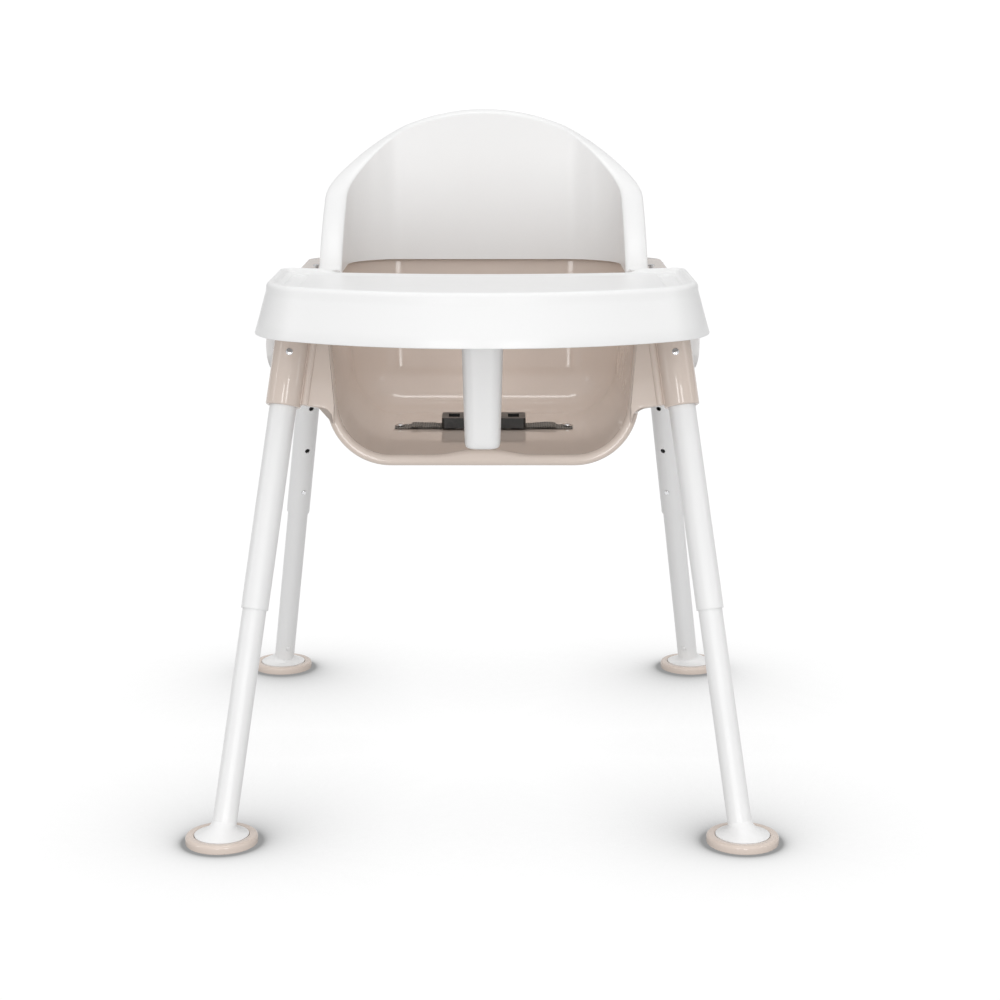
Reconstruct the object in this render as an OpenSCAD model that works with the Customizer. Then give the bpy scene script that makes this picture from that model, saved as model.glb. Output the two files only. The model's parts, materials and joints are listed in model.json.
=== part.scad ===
// Feeding chair for a nursery: moulded seat on four splayed legs that telescope,
// with a clip-in back, a lap belt and a tray that slides off forwards.
// Origin on the floor under the centre of the four feet. +Z up, the child faces -Y,
// "left" is the -X side.

/* [Legs] */
// Half the distance between the feet, side to side
foot_x = 235; // [230:1:240]
// Half the distance between the feet, front to back
foot_y = 278; // [274:1:282]
// Sideways splay of a leg, run over rise
lean_x = 0.135; // [0.130:0.001:0.138]
// Fore-and-aft splay of a leg, run over rise
lean_y = 0.323; // [0.318:0.001:0.328]
// Outer diameter of the upper tube
upper_d = 25; // [24.6:0.1:25.4]
// Outer diameter of the lower tube
lower_d = 22; // [21.6:0.1:22]
// Height of the upper tube's lower end
collar_z = 200; // [195:1:205]
// Distance between height holes along the tube
hole_pitch = 52; // [50:1:53]
// Diameter of a height button
button_d = 5.2; // [4.8:0.1:5.4]

/* [Feet] */
// Radius of the foot pad
pad_r = 32.8; // [31:0.2:34]
// Height of the foot pad
pad_h = 8; // [7:0.5:9]

/* [Seat] */
// Height of the seat's surface
seat_z = 331; // [329:1:333]
// Height of the armrests' top
arm_z = 486; // [485:0.5:486.5]
// Half the width inside the seat, at armrest height
seat_half_w = 146; // [144:1:147]
// Inside face of the seat's rear wall, at armrest height
seat_back_y = 140; // [136:1:142]
// Front edge of the seat
seat_front_y = -158; // [-160:1:-156]
// Half the width over the armrests
arm_half_w = 185; // [184:0.5:185]

/* [Back] */
// Height of the top of the back
back_top_z = 640; // [636:1:644]
// Half the width of the back at its foot
back_half_w = 161; // [159:1:162]

/* [Tray] */
// Half the width of the tray at the lower edge of its skirt
tray_half_w = 206; // [205:0.5:207]
// Foremost point of the tray
tray_front_y = -287; // [-292:1:-284]
// Foremost point of the tray's rear edge
tray_rear_y = -70; // [-74:1:-66]
// Height of the skirt's lower edge
skirt_z = 449; // [446:1:452]
// Height of the tray's rim
rim_z = 496; // [495.5:0.5:497]

/* [Belt] */
// Width of the webbing
web_w = 25; // [20:1:26]
// Half the distance between the belt's screws
anchor_x = 83.5; // [80:0.5:85]

/* [Hidden] */
$fn = 64;
white = [0.95, 0.95, 0.94];
taupe = [0.80, 0.74, 0.69];
steel = [0.75, 0.76, 0.78];
black = [0.10, 0.10, 0.10];
webbing_grey = [0.33, 0.32, 0.31];
far = 500;

// Legs: lengths s run along the leg's axis from the floor
leg_norm = sqrt(1 + lean_x * lean_x + lean_y * lean_y);
tip_y = atan(lean_x);
tip_x = atan(lean_y * cos(tip_y));
tube_wall = 1.4;
s_collar = collar_z * leg_norm;
s_button = s_collar + 30;
s_upper_top = (arm_z - 19) * leg_norm;
s_lower_top = s_button + 40;
s_lower_end = 17 * leg_norm;
s_foot_nub = s_lower_end + 15;
s_socket_button = (arm_z - 62) * leg_norm;
s_socket_low = (arm_z - 108) * leg_norm;
nub_r = 2.4;
socket_r = 16.2;
socket_button_d = 6.6;
button_gap = 0.1;
upper_in_r = upper_d / 2 - tube_wall;
lower_in_r = lower_d / 2 - tube_wall;
height_proud = 2;
socket_proud = 1.8;
web_len = 48;
web_t = 8;
rib_r = 3.4;
rear_web_turn = 38;

// Seat: a wall's section is set by how far it stands out from the rim's inner edge
wall = 4;
plan_r = 64;
floor_inset = 61;
floor_fillet = 50;
frame_t = 10;
frame_d = 12;
front_lean = 10;
bump_half_w = 34;
bump_h = 6;
flange_t = 4;
flange_front_y = -150;
flange_back_y = seat_back_y + 15;
rail_half_w = 190;
rail_h = 8;
rail_end_y = -20;
apron_h = 16;

// Back
back_in = -7;
back_out = back_half_w - seat_half_w;
back_wall = 4;
lip_t = 6;
arch_r = 212;
wing_r = 250;
wing_front_y = -15;
wing_top_y = 105;
back_screw = [167, 30];
screw_r = 1.9;

// Tray
tray_wall = 3;
skirt_flare = 11;
front_r = 320;
front_corner_r = 75;
rear_corner_r = 24;
rear_r = 600;
dish_z = rim_z - 4.5;
under_z = dish_z - tray_wall;
low_rim_half_w = 150;
low_rim_h = 0.8;
pin_x = 193.5;
pin_z = 470;
pin_r = 1.5;
ear_t = 2;
lever_y0 = -115;
lever_w = 46;
ear_ys = [lever_y0 - 2.5 - ear_t, lever_y0 + lever_w + 0.5];
pommel_y = -157;
pommel_z = 340;
pommel_screw_x = 26;

// Belt
belt_t = 1.6;
belt_z = seat_z + 0.3;
buckle_z = belt_z + belt_t + 0.3;
buckle_h = 10;
buckle_w = 36;
buckle_half_l = 41.5;
buckle_split = 8;
belt_screw_r = 2.45;
bar_x = 31;

// ---------- helpers ----------

function arc(c, r, a0, a1, n) =
    [for (i = [0:n]) let (a = a0 + (a1 - a0) * i / n) [c[0] + r * cos(a), c[1] + r * sin(a)]];

function flip_x(points) = [for (i = [len(points) - 1:-1:0]) [-points[i][0], points[i][1]]];

function lift(points, z) = [for (p = points) [p[0], p[1], z]];

// Turns a point about X and then about Y
function turn(p, ax, ay) =
    let (y = p[1] * cos(ax) - p[2] * sin(ax), z = p[1] * sin(ax) + p[2] * cos(ax))
    [p[0] * cos(ay) + z * sin(ay), y, -p[0] * sin(ay) + z * cos(ay)];

// Closed solid through rings of equal length, capped flat at both ends
module loft(rings) {
    n = len(rings[0]);
    last = (len(rings) - 1) * n;
    sides = [for (k = [0:len(rings) - 2], i = [0:n - 1])
        let (a = k * n + i, b = k * n + (i + 1) % n)
        each [[a, a + n, b], [b, a + n, b + n]]];
    caps = [[for (i = [0:n - 1]) i], [for (i = [n - 1:-1:0]) last + i]];
    polyhedron(points = [for (r = rings) each r], faces = concat(sides, caps));
}

// Puts its children in a leg's own frame: +Z up along the leg, from the floor
module on_leg(sx, sy) {
    translate([sx * foot_x, sy * foot_y, 0]) rotate([sy * tip_x, -sx * tip_y, 0]) children();
}

// Angle about the leg's axis that faces the middle of the chair
function inward(sx, sy) = atan2(sy * (lean_x * sin(tip_y) * sin(tip_x) - lean_y * cos(tip_x)),
    -sx * lean_x * cos(tip_y));

// Angle about the leg's axis that faces straight out to the front or the back
function outward(sy) = sy * 90;

// Turns +Z to point away from the leg's axis at an angle, at length s up the leg
module facing(angle, s) {
    translate([0, 0, s]) rotate([0, 0, angle]) rotate([0, 90, 0]) children();
}

// ---------- seat ----------

// Inside of the seat seen from above at rim height, grown outwards by n
module seat_plan(n) {
    side = seat_half_w + n;
    corner_x = seat_half_w - plan_r;
    corner_y = seat_back_y - plan_r;
    front = seat_front_y - 20;
    translate([-side, front]) square([2 * side, corner_y - front]);
    translate([-corner_x, front]) square([2 * corner_x, seat_back_y + n - front]);
    for (sx = [-1, 1]) translate([sx * corner_x, corner_y]) circle(plan_r + n);
}

// Half of the seat's cross-section, d outside the inner face, from the floor's edge up
function section(d) = concat(
    arc([-floor_inset, seat_z + floor_fillet], floor_fillet + d, -90, -4, 10), [[d, arm_z]]);

// Whole cross-section of the seat in the XZ plane, d outside the inner face
function cup(d) = let (half = [for (p = section(d)) [p[0] + seat_half_w, p[1]]])
    concat(flip_x(half), half);

// Sweeps a half section round the seat's sides, rear corners and rear wall
module sweep_section(points) {
    corner_x = seat_half_w - plan_r;
    corner_y = seat_back_y - plan_r;
    run = corner_y - seat_front_y + 10;
    for (side = [0, 1]) mirror([side, 0, 0]) {
        translate([seat_half_w, corner_y, 0]) rotate([90, 0, 0]) linear_extrude(run) polygon(points);
        translate([corner_x, corner_y, 0]) rotate_extrude(angle = 90, $fn = 96)
            translate([plan_r, 0]) polygon(points);
        translate([0, seat_back_y, 0]) rotate([90, 0, 90]) linear_extrude(corner_x) polygon(points);
    }
}

module tub() {
    outer = section(wall);
    sweep_section(concat(section(0), [for (i = [len(outer) - 1:-1:0]) outer[i]]));
    translate([0, 0, seat_z - wall]) linear_extrude(wall) seat_plan(-floor_inset);
}

module tub_space() {
    axis = [[-plan_r, arm_z], [-plan_r, seat_z]];
    sweep_section(concat(section(0), axis));
    translate([0, 0, seat_z]) linear_extrude(arm_z - seat_z) seat_plan(-plan_r + 1);
}

// Puts its children, drawn in the XZ plane and extruded towards +Z, on the leaning front plane
module on_front() {
    translate([0, seat_front_y + frame_d, seat_z]) rotate([-front_lean, 0, 0])
        translate([0, 0, -seat_z]) rotate([90, 0, 0]) children();
}

module front_frame() {
    on_front() linear_extrude(frame_d) difference() {
        polygon(cup(frame_t));
        polygon(cup(0));
    }
}

// Low rise in the middle of the seat's front edge, under the pommel
module front_bump() {
    r = (bump_half_w * bump_half_w + bump_h * bump_h) / (2 * bump_h);
    on_front() intersection() {
        translate([0, seat_z + bump_h - r, 0]) cylinder(r = r, h = frame_d, $fn = 180);
        translate([-bump_half_w, seat_z - 1, 0]) cube([2 * bump_half_w, bump_h + 1, frame_d]);
    }
}

// Armrests and rear shelf seen from above, drawn in by n
module flange_plan(n) {
    half = arm_half_w - n;
    back = flange_back_y - n;
    r = 24;
    translate([-half, flange_front_y]) square([2 * half, back - r - flange_front_y]);
    translate([-half + r, flange_front_y]) square([2 * (half - r), back - flange_front_y]);
    for (sx = [-1, 1]) translate([sx * (half - r), back - r]) circle(r);
}

module flange() {
    translate([0, 0, arm_z - flange_t]) linear_extrude(flange_t) difference() {
        flange_plan(0);
        seat_plan(0);
    }
    translate([0, 0, arm_z - apron_h]) linear_extrude(apron_h) difference() {
        flange_plan(0);
        flange_plan(wall);
        translate([-far, rail_end_y - far]) square([2 * far, far]);
    }
    for (sx = [-1, 1])
        translate([sx * (rail_half_w - 3), (flange_front_y + rail_end_y) / 2, arm_z - rail_h / 2])
            cube([6, rail_end_y - flange_front_y, rail_h], center = true);
}

// Sleeve for a leg with the web that ties it to the side of the seat
module socket(sx, sy) {
    len = (arm_z + 20) * leg_norm - s_socket_low;
    on_leg(sx, sy) translate([0, 0, s_socket_low]) {
        cylinder(r = socket_r, h = len);
        mirror([sx > 0 ? 1 : 0, 0, 0]) rotate([0, 0, sy > 0 ? -rear_web_turn : 0]) {
            translate([0, -web_t / 2, 3]) cube([web_len, web_t, len]);
            translate([socket_r + rib_r, sy * web_t / 2, 3]) cylinder(r = rib_r, h = len);
        }
    }
}

module seat_shell() {
    color(taupe) difference() {
        union() {
            difference() {
                intersection() {
                    union() {
                        tub();
                        for (c = [-1, 1], d = [-1, 1]) socket(c, d);
                    }
                    translate([-far, -far, 0]) cube([2 * far, 2 * far, arm_z]);
                    on_front() translate([-far, -far, -far]) cube([2 * far, 3 * far, far + frame_d / 2]);
                }
                tub_space();
            }
            front_frame();
            flange();
        }
        for (sx = [-1, 1]) {
            for (sy = [-1, 1]) on_leg(sx, sy) {
                translate([0, 0, s_socket_low - 1])
                    cylinder(r = upper_d / 2 + 0.05, h = s_upper_top - s_socket_low + 2);
                facing(outward(sy), s_socket_button)
                    cylinder(r = socket_button_d / 2 + button_gap, h = 2 * socket_r);
            }
            translate([sx * back_screw[0], back_screw[1], arm_z - flange_t - 1])
                cylinder(r = screw_r, h = flange_t + 2);
            translate([sx * anchor_x, 0, seat_z - wall - 1])
                cylinder(r = belt_screw_r + 0.05, h = wall + 2);
        }
    }
    color(taupe) front_bump();
}

// ---------- back ----------

// Front view of the back, drawn in by n
module arch_outline(n) {
    turn_at = acos(back_half_w / arch_r);
    half = concat([[back_half_w - n, arm_z]], arc([0, back_top_z - arch_r], arch_r - n, turn_at, 90, 24));
    polygon(concat(half, flip_x(half)));
}

// Side view of the wings, drawn in by n: one wide curve from the armrest up to where the arch takes over
module wing_outline(n) {
    foot = [wing_front_y, arm_z];
    top = [wing_top_y, back_top_z - arch_r + sqrt(arch_r * arch_r - back_half_w * back_half_w)];
    chord = norm(top - foot);
    along = (top - foot) / chord;
    centre = (foot + top) / 2 + sqrt(wing_r * wing_r - chord * chord / 4) * [along[1], -along[0]];
    high = atan2(top[1] - centre[1], top[0] - centre[0]);
    low = 180 - asin((arm_z - centre[1]) / (wing_r - n));
    polygon(concat([[far / 2, arm_z], [far / 2, back_top_z + 1], [wing_top_y, back_top_z + 1]],
        arc(centre, wing_r - n, high, low, 24)));
}

module back_block(n0, n1, inset) {
    intersection() {
        translate([0, 0, arm_z]) linear_extrude(back_top_z - arm_z) difference() {
            seat_plan(n1);
            seat_plan(n0);
        }
        translate([0, far / 2, 0]) rotate([90, 0, 0]) linear_extrude(far) arch_outline(inset);
        translate([-far / 2, 0, 0]) rotate([90, 0, 90]) linear_extrude(far) wing_outline(inset);
    }
}

module seat_back() {
    tab = [17, 15, 3];
    color(white) difference() {
        union() {
            difference() {
                back_block(back_in, back_out, 0);
                back_block(back_in + back_wall, back_out + 1, lip_t);
            }
            for (sx = [-1, 1]) translate([sx * (back_screw[0] - tab[0] / 4), back_screw[1], arm_z + tab[2] / 2])
                cube(tab, center = true);
        }
        for (sx = [-1, 1]) translate([sx * back_screw[0], back_screw[1], arm_z - 1])
            cylinder(r = screw_r + 0.2, h = tab[2] + 2);
    }
}

module screw(r_head, h_head, r_shank, l_shank) {
    translate([0, 0, -l_shank]) cylinder(r = r_shank, h = l_shank);
    intersection() {
        cylinder(r = r_head, h = h_head);
        translate([0, 0, h_head - 2 * r_head]) sphere(r = 2 * r_head);
    }
}

module back_screws() {
    color(steel) for (sx = [-1, 1]) translate([sx * back_screw[0], back_screw[1], arm_z + 3])
        screw(3.4, 1.8, screw_r, 12);
}

// ---------- legs ----------

module tube(d, s0, s1) {
    translate([0, 0, s0]) difference() {
        cylinder(r = d / 2, h = s1 - s0);
        translate([0, 0, -1]) cylinder(r = d / 2 - tube_wall, h = s1 - s0 + 2);
    }
}

module upper_leg(sx, sy) {
    color(white) on_leg(sx, sy) difference() {
        tube(upper_d, s_collar, s_upper_top);
        for (k = [0:2]) facing(inward(sx, sy), s_button + k * hole_pitch)
            cylinder(r = button_d / 2 + button_gap, h = upper_d);
        facing(outward(sy), s_socket_button) cylinder(r = socket_button_d / 2 + button_gap, h = upper_d);
    }
}

module lower_leg(sx, sy) {
    color(white) on_leg(sx, sy) difference() {
        tube(lower_d, s_lower_end, s_lower_top);
        facing(inward(sx, sy), s_button) cylinder(r = button_d / 2 + button_gap, h = lower_d);
        facing(inward(sx, sy), s_foot_nub) cylinder(r = nub_r + 0.2, h = lower_d);
    }
}

// Domed button with a collar that stays behind the tube's wall
module snap_button(d, tube_r, tip) {
    r = d / 2;
    seat = tube_r - 1.8;
    dome = 1.2;
    rotate_extrude() polygon(concat(
        [[0, seat], [r + 1, seat], [r + 1, seat + 0.7], [r, seat + 0.7], [r, tip - dome]],
        [for (i = [1:6]) [r * cos(15 * i), tip - dome + dome * sin(15 * i)]]));
}

module height_button(sx, sy) {
    color(steel) on_leg(sx, sy) facing(inward(sx, sy), s_button)
        snap_button(button_d, lower_in_r, upper_d / 2 + height_proud);
}

// Bent leaf inside a tube that pushes a button out
module leaf_in_tube(sx, sy, angle, s, tube_r) {
    t = 0.6;
    width = 8;
    near = tube_r - 2;
    rear = -tube_r + 1;
    on_leg(sx, sy) translate([0, 0, s]) rotate([90, 0, angle]) translate([0, 0, -width / 2])
        linear_extrude(width) polygon([
            [near, 6], [near, -4.2], [rear + t + 0.3, -39], [rear, -39], [rear, 10],
            [rear + t, 10], [rear + t, -35.5], [near - t, -3.8], [near - t, 6]]);
}

module height_spring(sx, sy) {
    color(steel) leaf_in_tube(sx, sy, inward(sx, sy), s_button, lower_in_r);
}

module socket_button(sx, sy) {
    color(steel) on_leg(sx, sy) facing(outward(sy), s_socket_button)
        snap_button(socket_button_d, upper_in_r, socket_r + socket_proud);
}

module socket_springs() {
    color(steel) for (sx = [-1, 1], sy = [-1, 1])
        leaf_in_tube(sx, sy, outward(sy), s_socket_button, upper_in_r);
}

// Trumpet-shaped foot: flat on the pad, square to the tube at the top, with a spigot up the tube
module foot(sx, sy) {
    base_r = pad_r - 8.2;
    seat_h = 3;
    steps = 9;
    tube_r = lower_d / 2;
    end_z = s_lower_end / leg_norm;
    ring = function (r, t, z) [for (i = [0:31]) let (a = i * 11.25,
            p = turn([r * cos(a), r * sin(a), 0], sy * tip_x * t, -sx * tip_y * t))
        [sx * (foot_x - lean_x * z * t) + p[0], sy * (foot_y - lean_y * z * t) + p[1], z + p[2]]];
    flare = [for (k = [0:steps]) let (t = k / steps)
        ring(tube_r + (base_r - tube_r) * pow(1 - t, 2.2), t, pad_h + (end_z - pad_h) * t)];
    color(white) {
        loft(concat([ring(base_r, 0, seat_h)], flare));
        on_leg(sx, sy) {
            translate([0, 0, s_lower_end]) cylinder(r = lower_in_r - 0.1, h = 26);
            facing(inward(sx, sy), s_foot_nub) cylinder(r = nub_r, h = tube_r + 0.6);
        }
    }
}

module foot_pad(sx, sy) {
    edge = 2;
    color(taupe) translate([sx * foot_x, sy * foot_y, 0]) rotate_extrude($fn = 96) polygon(concat(
        [[0, 0], [pad_r - 1, 0], [pad_r, 1]],
        arc([pad_r - edge, pad_h - edge], edge, 0, 90, 6),
        [[pad_r - 8.2, pad_h], [pad_r - 8.2, 3], [0, 3]]));
}

// ---------- tray ----------

// Tray seen from above, drawn in by n: wide front curve, round front corners,
// straight sides, tight rear corners and a shallow curve towards the child
function tray_ring(n, z) = let (
    c1 = [0, tray_front_y + front_r],
    turn_at = asin((tray_half_w - front_corner_r) / (front_r - front_corner_r)),
    c2 = c1 + (front_r - front_corner_r) * [sin(turn_at), -cos(turn_at)],
    c4x = tray_half_w - rear_corner_r,
    c5y = tray_rear_y + rear_r,
    c4y = c5y - sqrt(pow(rear_r + rear_corner_r, 2) - c4x * c4x),
    rear_turn = atan2(c5y - c4y, -c4x),
    half = concat(arc(c1, front_r - n, -90, -90 + turn_at, 10),
        arc(c2, front_corner_r - n, -90 + turn_at, 0, 10),
        arc([c4x, c4y], rear_corner_r - n, 0, rear_turn, 7),
        arc([0, c5y], rear_r + n, rear_turn - 180, -90, 8)),
    m = len(half))
    lift(concat(half, [for (i = [m - 2:-1:1]) [-half[i][0], half[i][1]]]), z);

// Long shallow recess beside the dish
module side_recess(sx) {
    r = 9;
    x = 178.5;
    ends = [-180, -74];
    floor_z = dish_z - 1.8;
    for (y = ends) translate([sx * x, y, floor_z]) cylinder(r = r, h = tray_wall);
    translate([sx * x - r, ends[0], floor_z]) cube([2 * r, ends[1] - ends[0], tray_wall]);
}

// The skirt is cut away at the rear where the tray passes over the armrests, and the
// rim is low in front of the child
module tray() {
    lip = [8.6, 40, 4];
    notch = [130, rail_half_w + 0.7];
    color(white) difference() {
        union() {
            loft([tray_ring(skirt_flare + tray_wall, under_z),
                tray_ring(tray_wall, skirt_z), tray_ring(0, skirt_z),
                tray_ring(skirt_flare, rim_z - 6), tray_ring(skirt_flare + 0.9, rim_z - 2),
                tray_ring(skirt_flare + 2.6, rim_z), tray_ring(skirt_flare + 4, rim_z),
                tray_ring(skirt_flare + 5.6, rim_z - 1.5), tray_ring(skirt_flare + 7, dish_z)]);
            for (sx = [-1, 1]) {
                translate([sx * (rail_half_w - 1.8 + lip[0] / 2), -148, arm_z - 11.5])
                    cube(lip, center = true);
                for (y = ear_ys) translate([sx * (pin_x + 0.9) - 3.6, y, pin_z - 4])
                    cube([7.2, ear_t, under_z - pin_z + 5]);
            }
        }
        for (sx = [-1, 1]) {
            side_recess(sx);
            translate([sx > 0 ? notch[0] : -notch[1], tray_rear_y - 20, skirt_z - 1])
                cube([notch[1] - notch[0], far, arm_z + 0.4 - skirt_z + 1]);
        }
        translate([-low_rim_half_w, tray_rear_y - 50, dish_z + low_rim_h])
            cube([2 * low_rim_half_w, far, rim_z - dish_z]);
        for (sx = [-1, 1], y = ear_ys) translate([sx * pin_x, y - 0.2, pin_z])
            rotate([-90, 0, 0]) cylinder(r = pin_r, h = ear_t + 0.4);
    }
}

// Round-cornered upright post, wider at the top, hanging from the tray between the knees
module pommel() {
    ring = function (hw, hd, z) let (r = min(hw, hd) * 0.8)
        lift(concat(
            arc([hw - r, pommel_y - hd + r], r, -90, 0, 6),
            arc([hw - r, pommel_y + hd - r], r, 0, 90, 6),
            arc([r - hw, pommel_y + hd - r], r, 90, 180, 6),
            arc([r - hw, pommel_y - hd + r], r, 180, 270, 6)), z);
    top = under_z - 0.1;
    color(white) difference() {
        union() {
            loft([ring(13, 11, pommel_z), ring(15.2, 13.2, pommel_z + 1), ring(16.3, 14.6, pommel_z + 4),
                ring(16.6, 15, pommel_z + 9), ring(20.6, 16, top)]);
            translate([-32, pommel_y - 16, top - flange_t]) cube([64, 32, flange_t]);
        }
        for (sx = [-1, 1]) translate([sx * pommel_screw_x, pommel_y, top - flange_t - 1])
            cylinder(r = screw_r + 0.1, h = 10);
    }
}

module pommel_screws() {
    color(steel) for (sx = [-1, 1]) translate([sx * pommel_screw_x, pommel_y, under_z - flange_t - 0.1])
        mirror([0, 0, 1]) screw(3.6, 1.8, screw_r, flange_t);
}

// Squeeze lever under the side of the tray: bowed plate on a knuckle, with an arm beside the rail
module tray_lever(sx) {
    low = pin_z - 64;
    bow = concat(arc([pin_x - 90.5, pin_z - 40], 100, -13.9, 22, 12),
        [[pin_x - 2.5, pin_z - 2], [pin_x + 3.9, low]]);
    corner = 14;
    color(white) mirror([sx < 0 ? 1 : 0, 0, 0]) difference() {
        union() {
            intersection() {
                translate([0, lever_y0 + lever_w, 0]) rotate([90, 0, 0])
                    linear_extrude(lever_w) polygon(bow);
                rotate([90, 0, 90]) linear_extrude(far) {
                    translate([lever_y0, low + corner]) square([lever_w, 100]);
                    for (y = [lever_y0 + corner, lever_y0 + lever_w - corner])
                        translate([y, low + corner]) circle(corner);
                    translate([lever_y0 + corner, low]) square([lever_w - 2 * corner, corner]);
                }
            }
            translate([pin_x, lever_y0, pin_z]) rotate([-90, 0, 0]) cylinder(r = 3.2, h = lever_w);
            translate([rail_half_w + 0.6, lever_y0, pin_z]) cube([1.4, lever_w, 8]);
        }
        translate([pin_x, lever_y0 - 1, pin_z]) rotate([-90, 0, 0])
            cylinder(r = pin_r + 0.05, h = lever_w + 2);
    }
}

module lever_pins() {
    len = lever_w + 3 + 2 * ear_t;
    color(steel) for (sx = [-1, 1]) translate([sx * pin_x, ear_ys[0], pin_z]) rotate([-90, 0, 0])
        cylinder(r = pin_r, h = len);
}

module lever_springs() {
    wire = 0.5;
    color(steel) for (sx = [-1, 1], k = [0:1])
        translate([sx * pin_x, lever_y0 - 1.9 + k * 1.1, pin_z]) rotate([90, 0, 0])
            rotate_extrude() translate([2.6, 0]) circle(wire, $fn = 16);
}

// ---------- belt ----------

module belt_strap(sx) {
    inner = bar_x - 3;
    outer = anchor_x + 5;
    color(webbing_grey) difference() {
        translate([sx > 0 ? inner : -outer, -web_w / 2, belt_z]) cube([outer - inner, web_w, belt_t]);
        translate([sx * anchor_x, 0, belt_z - 1]) cylinder(r = 2.6, h = belt_t + 2);
    }
}

module belt_screws() {
    color(steel) for (sx = [-1, 1]) translate([sx * anchor_x, 0, belt_z + belt_t]) {
        screw(4.6, 2.2, belt_screw_r, 10);
        translate([0, 0, seat_z - wall - belt_z - belt_t - 3]) cylinder(r = 4.2, h = 3, $fn = 6);
    }
}

// Block with rounded ends in the XY plane
module rounded_block(x0, x1, w, z0, h, r) {
    translate([0, 0, z0]) linear_extrude(h) {
        translate([x0 + r, -w / 2]) square([x1 - x0 - 2 * r, w]);
        translate([x0, -w / 2 + r]) square([x1 - x0, w - 2 * r]);
        for (x = [x0 + r, x1 - r], y = [-w / 2 + r, w / 2 - r]) translate([x, y]) circle(r);
    }
}

// Round bar that the webbing is looped on
module web_bar(sx) {
    translate([sx * (bar_x - 1.5), 0, buckle_z + 4]) rotate([90, 0, 0])
        cylinder(r = 1.7, h = web_w, center = true);
}

module buckle_socket() {
    mid = buckle_z + buckle_h / 2;
    color(black) difference() {
        rounded_block(-buckle_half_l, buckle_split, buckle_w, buckle_z, buckle_h, 3);
        translate([-22, -13, mid - 2.8]) cube([40, 26, 5.6]);
        for (sy = [-1, 1]) translate([-17, sy * 13 - 6, mid - 2.8]) cube([14, 12, 5.6]);
        translate([-bar_x - 4, -web_w / 2 + 3, buckle_z - 1]) cube([11, web_w - 6, buckle_h + 2]);
    }
    color(black) web_bar(-1);
}

module buckle_tongue() {
    mid = buckle_z + buckle_h / 2;
    color(black) difference() {
        union() {
            rounded_block(buckle_split + 0.3, buckle_half_l, buckle_w, buckle_z, buckle_h, 3);
            for (sy = [-1, 1]) translate([-18, sy * 9.6 - 2.6, mid - 2.4]) cube([30, 5.2, 4.8]);
            translate([-12, -2.5, mid - 2.4]) cube([24, 5, 4.8]);
        }
        translate([bar_x - 7, -web_w / 2 + 3, buckle_z - 1]) cube([11, web_w - 6, buckle_h + 2]);
    }
    color(black) web_bar(1);
}

seat_shell();
seat_back();
back_screws();
upper_leg(-1, -1);  // upper_leg_fl
upper_leg(1, -1);  // upper_leg_fr
upper_leg(-1, 1);  // upper_leg_rl
upper_leg(1, 1);  // upper_leg_rr
socket_button(-1, -1);  // socket_button_fl
socket_button(1, -1);  // socket_button_fr
socket_button(-1, 1);  // socket_button_rl
socket_button(1, 1);  // socket_button_rr
socket_springs();
lower_leg(-1, -1);  // lower_leg_fl
lower_leg(1, -1);  // lower_leg_fr
lower_leg(-1, 1);  // lower_leg_rl
lower_leg(1, 1);  // lower_leg_rr
height_button(-1, -1);  // height_button_fl
height_button(1, -1);  // height_button_fr
height_button(-1, 1);  // height_button_rl
height_button(1, 1);  // height_button_rr
height_spring(-1, -1);  // height_spring_fl
height_spring(1, -1);  // height_spring_fr
height_spring(-1, 1);  // height_spring_rl
height_spring(1, 1);  // height_spring_rr
foot(-1, -1);  // foot_fl
foot(1, -1);  // foot_fr
foot(-1, 1);  // foot_rl
foot(1, 1);  // foot_rr
foot_pad(-1, -1);  // foot_pad_fl
foot_pad(1, -1);  // foot_pad_fr
foot_pad(-1, 1);  // foot_pad_rl
foot_pad(1, 1);  // foot_pad_rr
tray();
pommel();
pommel_screws();
tray_lever(-1);  // tray_lever_left
tray_lever(1);  // tray_lever_right
lever_pins();
lever_springs();
belt_strap(-1);  // belt_strap_left
belt_strap(1);  // belt_strap_right
belt_screws();
buckle_socket();
buckle_tongue();
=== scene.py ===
import json
import math

import bmesh
import bpy
from mathutils import Matrix, Vector


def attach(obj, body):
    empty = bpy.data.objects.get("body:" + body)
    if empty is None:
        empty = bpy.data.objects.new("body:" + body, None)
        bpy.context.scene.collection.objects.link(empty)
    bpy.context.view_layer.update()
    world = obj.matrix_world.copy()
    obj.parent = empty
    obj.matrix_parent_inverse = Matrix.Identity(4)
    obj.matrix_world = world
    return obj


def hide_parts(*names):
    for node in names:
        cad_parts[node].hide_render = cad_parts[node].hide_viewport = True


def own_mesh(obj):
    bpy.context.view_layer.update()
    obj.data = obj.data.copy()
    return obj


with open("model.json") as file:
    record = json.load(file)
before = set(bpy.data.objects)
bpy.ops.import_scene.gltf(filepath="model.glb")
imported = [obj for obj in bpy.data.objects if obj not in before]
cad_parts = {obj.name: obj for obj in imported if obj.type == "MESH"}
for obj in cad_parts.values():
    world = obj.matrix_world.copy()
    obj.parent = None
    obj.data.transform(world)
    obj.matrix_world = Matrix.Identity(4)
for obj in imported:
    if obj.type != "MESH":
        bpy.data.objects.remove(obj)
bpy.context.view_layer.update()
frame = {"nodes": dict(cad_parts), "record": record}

NODES = frame["nodes"]
MM = 0.001
LEGS = {"fl": (-1, -1), "fr": (1, -1), "rl": (-1, 1), "rr": (1, 1)}

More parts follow.
